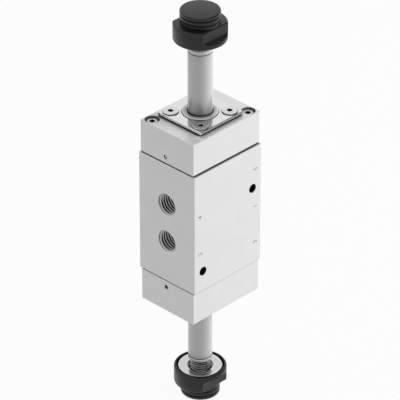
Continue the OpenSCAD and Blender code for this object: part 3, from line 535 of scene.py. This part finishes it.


# Nut inserts
# A turned steel bush with the female thread and a groove that keys it, moulded into each nut.
# The zinc on it is a dull silver, and the washer and the stud hide nearly all of it.

# Painted shade darkens the insert in its hollows.
insert_steel = turned_steel("turned_zinc_plated_insert", ("B4B4B4", "C0C0BF"), metallic=0.8, low=0.25, high=0.35,
                            reach=0.8)
insert_mouth_r, insert_bore, insert_r, insert_key_r = 7.0, 6.1, 8.5, 7.7
insert_low = rim_z + washer_seat_h
bore_low, groove_low, groove_top, insert_top = [insert_low + step for step in (0.9, 1.6, 3.0, 4.6)]
insert_section, insert_turns, thread_low = [(6.2, -0.6), (5.35, -0.12), (5.35, 0.12), (6.2, 0.6)], 1.25, 110.95
for end in ("top", "bottom"):
    bm = turn([(insert_mouth_r, insert_low), (insert_r, insert_low), (insert_r, groove_low),
               (insert_key_r, groove_low), (insert_key_r, groove_top), (insert_r, groove_top),
               (insert_r, insert_top), (insert_bore, insert_top), (insert_bore, bore_low)],
              [(insert_mouth_r, insert_low, 0.1), (insert_bore, bore_low, fine_round)])
    bush = place_mesh(end + "_threaded_insert", turned_for(end, bm), insert_steel, end + "_nut")
    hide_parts(end + "_nut_insert")
    bm = bmesh.new()
    wind(bm, insert_section, stud_pitch, insert_turns, thread_low)
    bmesh.ops.rotate(bm, verts=bm.verts, cent=(0, 0, 0), matrix=Matrix.Rotation(math.pi, 3, "Z"))
    place_mesh(end + "_insert_thread", turned_for(end, bm), insert_steel, end + "_nut")


# Nut washers
# A flat washer of bright plated steel sits in each nut's face and takes the pressure on the coil.
# It is stamped, so one edge is rounded over, and the nut turns on it.

# Painted shade darkens the washer at its hole and round its rim.
washer_steel = plated_steel("stamped_bright_steel", ("CACAC9", "D4D4D3"), low=0.1, high=0.14, reach=1.6,
                            metallic=0.92, shut=0.5)
hole_r, washer_r, washer_rim_r = 7.4, 12.65, 13.15
washer_low = rim_z + 0.3
rim_low, washer_top = washer_low + 1.2, washer_low + 1.5
for end in ("top", "bottom"):
    bm = turn([(hole_r, washer_low), (washer_r, washer_low), (washer_r, rim_low), (washer_rim_r, rim_low),
               (washer_rim_r, washer_top), (hole_r, washer_top)],
              [(hole_r, washer_low, 0.2), (washer_r, washer_low, fine_round)])
    washer = place_mesh(end + "_flat_washer", turned_for(end, bm), washer_steel, end + "_washer")
    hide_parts(end + "_nut_washer")


# Exhaust caps
# A stack of three discs in the nut's polyamide, pressed into its end. The air leaves through the gaps between
# them, into which four windows lead through the hub. The outer disc has a rounded edge.

disc_h, gap, disc_r, hub_r, disc_round = 2.0667, 0.6, 11.35, 8.95, 0.8
plug_r, plug_bore, plug_low, window_l, window_w = 7.7, 6.5, 114.6, 30, 4
low_1, low_2, low_3 = [end_z + i * (disc_h + gap) for i in range(3)]
top_1, top_2, top_3 = low_1 + disc_h, low_2 + disc_h, low_3 + disc_h
for end in ("top", "bottom"):
    bm = turn([(plug_bore, plug_low), (plug_r, plug_low), (plug_r, low_1), (disc_r, low_1), (disc_r, top_1),
               (hub_r, top_1), (hub_r, low_2), (disc_r, low_2), (disc_r, top_2), (hub_r, top_2), (hub_r, low_3),
               (disc_r, low_3), (disc_r, top_3), (0, top_3), (0, low_3), (plug_bore, low_3)],
              [(disc_r, top_1, fine_round), (disc_r, low_2, fine_round), (disc_r, top_2, fine_round),
               (disc_r, low_3, fine_round), (disc_r, top_3, disc_round), (disc_r, low_1, fine_round)])
    cap = place_mesh(end + "_disc_stack", turned_for(end, bm), polyamide, end + "_nut")
    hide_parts(end + "_exhaust_cap")
    for gap_base in (top_1, top_2):
        for across in ((window_l, window_w), (window_w, window_l)):
            window = bmesh.new()
            bmesh.ops.create_cube(window, size=1.0)
            bmesh.ops.scale(window, verts=window.verts, vec=Vector((*across, gap)) * MM)
            bmesh.ops.translate(window, verts=window.verts, vec=(0, 0, (gap_base + gap / 2) * MM))
            cut_to(cap, turned_for(end, window), "DIFFERENCE")
    cap.data.set_sharp_from_angle(angle=math.radians(sharp_degrees))


# Inner pieces
# The spool, its cages and pistons, the pilot seats, armatures, rings and springs, all closed in by the body.
# They keep their CAD solids, in the finish that each has when the valve is opened.

# Natural acetal is a milky cream, and fluorocarbon rubber a dull brick red.
acetal = moulded("moulded_natural_acetal", ("E4E0D2", "ECE8DC"), low=0.3, high=0.42)
red_rubber = moulded("moulded_red_rubber", ("6A1C18", "74221C"), low=0.55, high=0.7)
# Brass, copper and spring wire are bare metal. The spool's hard coat is smooth and blue-grey.
brass = turned_steel("turned_brass", ("C9A45A", "D4B068"), metallic=1.0)
copper = turned_steel("drawn_copper", ("B87346", "C58054"), metallic=1.0)
bright_wire = turned_steel("drawn_spring_wire", ("B6B6B6", "C2C2C2"), metallic=1.0)
spool_finish = turned_steel("ground_hard_anodised_spool", ("9AA0AA", "A6ACB4"), metallic=0.8, low=0.15, high=0.22)
dress("spool", spool_finish)
dress("port_cages", acetal)
inner_finishes = {"piston": acetal, "piston_sleeve": acetal, "pilot_seat": brass, "armature": tube_steel,
                  "armature_discs": red_rubber, "shading_ring": copper}
for end in ("top", "bottom"):
    for part, finish in inner_finishes.items():
        dress(end + "_" + part, finish)


# Return springs
# A coil of drawn wire presses each armature away from its core, and gets shorter as the armature lifts.
# It is wound again here in place of the CAD's solid, and like that solid it keeps one length.

wire_r, mean_r, spring_low, spring_l, coils, wire_sides = 0.3, 3.4, 70.76, 9.2, 6, 12
around = [math.tau * i / wire_sides for i in range(wire_sides)]
wire_section = [(mean_r + wire_r * math.cos(a), wire_r * math.sin(a)) for a in around]
for end, side in (("top", 1), ("bottom", -1)):
    bm = bmesh.new()
    wind(bm, wire_section, (spring_l - 2 * wire_r) / coils, coils, spring_low + wire_r)
    spring = place_mesh(end + "_return_spring", turned_for(end, bm), bright_wire, "housing")
    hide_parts(end + "_armature_spring")
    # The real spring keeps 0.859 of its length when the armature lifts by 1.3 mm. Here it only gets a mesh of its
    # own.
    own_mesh(spring)


# Studio
# A white floor under the valve, one large soft lamp from the right, a weak one from the left, a grey card that
# only reflections see, and a camera at the photograph's angle. Sizes and places are metres here.

def seen_directly(material):
    """1 for what the camera sees, in a mirror or through glass too, and 0 for light that falls on the valve."""
    path = add_node(material, "ShaderNodeLightPath", {})
    seen = path.outputs["Is Camera Ray"]
    for kind in ("Is Glossy Ray", "Is Transmission Ray"):
        either = add_node(material, "ShaderNodeMath", {"operation": "MAXIMUM"}, {0: seen, 1: path.outputs[kind]})
        seen = either.outputs[0]
    return seen


def flat_sheet(name, half_size, place, material):
    """A square sheet of the studio, moved to its place by a matrix."""
    bm = bmesh.new()
    bmesh.ops.create_grid(bm, x_segments=1, y_segments=1, size=half_size)
    bmesh.ops.transform(bm, matrix=place, verts=bm.verts)
    mesh = bpy.data.meshes.new(name)
    bm.to_mesh(mesh)
    bm.free()
    mesh.materials.append(material)
    sheet = bpy.data.objects.new(name, mesh)
    bpy.context.scene.collection.objects.link(sheet)
    return sheet


# The floor glows white to the eye, and a small share of it is real, which keeps the shadow.
shadow_share, floor_z = 0.04, -0.1251
floor_material, surface = new_material("white_floor")
plain = add_node(floor_material, "ShaderNodeBsdfDiffuse", {"Color": linear("A8A8A8")})
glow = add_node(floor_material, "ShaderNodeEmission", {"Color": (1, 1, 1, 1), "Strength": 1.0})
share = add_node(floor_material, "ShaderNodeMath", {"operation": "MULTIPLY", 1: 1 - shadow_share},
                 {0: seen_directly(floor_material)})
both = add_node(floor_material, "ShaderNodeMixShader", {},
                {0: share.outputs[0], 1: plain.outputs[0], 2: glow.outputs[0]})
floor_material.node_tree.links.new(both.outputs[0], surface)
floor = flat_sheet("floor", 6.0, Matrix.Translation((0, 0, floor_z)), floor_material)

world = bpy.data.worlds.new("studio")
bpy.context.scene.world = world
world.use_nodes = True
world.node_tree.nodes.clear()
level = add_node(world, "ShaderNodeMapRange", {"To Min": 0.3, "To Max": 1.0}, {"Value": seen_directly(world)})
sky = add_node(world, "ShaderNodeBackground", {"Color": (1, 1, 1, 1)}, {"Strength": level.outputs["Result"]})
add_node(world, "ShaderNodeOutputWorld", {}, {"Surface": sky.outputs[0]})


def soft_lamp(name, place, size, power):
    """A square lamp that faces the valve's centre."""
    lamp = bpy.data.lights.new(name, "AREA")
    lamp.shape, lamp.size, lamp.energy = "SQUARE", size, power
    thing = bpy.data.objects.new(name, lamp)
    thing.location = place
    thing.rotation_euler = (-Vector(place)).to_track_quat("-Z", "Y").to_euler()
    thing.visible_glossy = False
    bpy.context.scene.collection.objects.link(thing)


soft_lamp("key_lamp", place=(0.65, 0.9, 0.45), size=0.9, power=24.5)
soft_lamp("fill_lamp", place=(-1.1, -0.5, 0.4), size=0.9, power=5.0)

# The card stands high on the right, behind the valve, as in a photograph of glossy plastic.
card_material, surface = new_material("matt_grey_card")
dull = add_node(card_material, "ShaderNodeBsdfDiffuse", {"Color": linear("747474")})
card_material.node_tree.links.new(dull.outputs[0], surface)
toward, card_distance = Vector((0.46, 0.61, 0.64)), 1.2
card_place = Matrix.Translation(toward * card_distance) @ toward.to_track_quat("Z", "Y").to_matrix().to_4x4()
card = flat_sheet("grey_card", 0.62, card_place, card_material)
card.visible_camera = card.visible_diffuse = card.visible_shadow = card.visible_transmission = False

azimuth, elevation = math.radians(44.29), math.radians(31.55)
distance, across_mm, above_mm = 2.0, -0.12, 3.01
level_back = Vector((math.sin(azimuth), -math.cos(azimuth), 0))
back = level_back * math.cos(elevation) + Vector((0, 0, math.sin(elevation)))
right = Vector((math.cos(azimuth), math.sin(azimuth), 0))
up = back.cross(right)
view = bpy.data.cameras.new("camera")
view.sensor_width, view.lens, view.clip_start, view.clip_end = 36.0, 321.1, 0.1, 20.0
camera = bpy.data.objects.new("camera", view)
facing = Matrix((right, up, back)).transposed().to_4x4()
camera.matrix_world = Matrix.Translation(back * distance + (right * across_mm + up * above_mm) * MM) @ facing
bpy.context.scene.collection.objects.link(camera)
bpy.context.scene.camera = camera
bpy.context.scene.view_settings.view_transform = "Standard"
